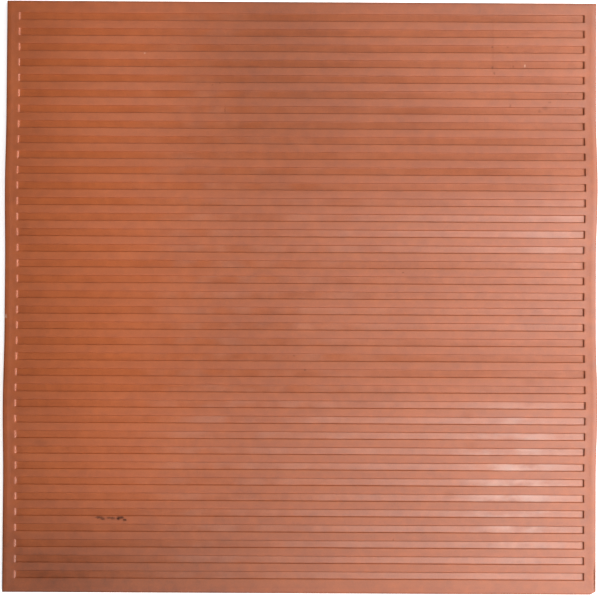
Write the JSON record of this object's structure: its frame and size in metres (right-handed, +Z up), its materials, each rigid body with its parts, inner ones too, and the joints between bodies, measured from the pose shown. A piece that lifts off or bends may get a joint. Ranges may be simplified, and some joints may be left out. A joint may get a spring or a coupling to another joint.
{
  "type": "electrical insulating mat",
  "caption": "Square moulded rubber insulating mat with parallel closed-ended grooves in its top face and a plain border, lying with two low waves.",
  "frame": {"origin": "on the floor, under the middle of the mat", "axes": "+Z up through the mat's thickness, +X along the grooves, +Y across the grooves towards the edge with the narrower border"},
  "size_m": [0.5, 0.5, 0.011],
  "materials": {
    "rubber_mat": "reddish-brown moulded rubber, matte lands and slightly glossier groove floors"
  },
  "bodies": {
    "root": {"rubber_mat": "rubber_mat"}
  },
  "joints": []
}
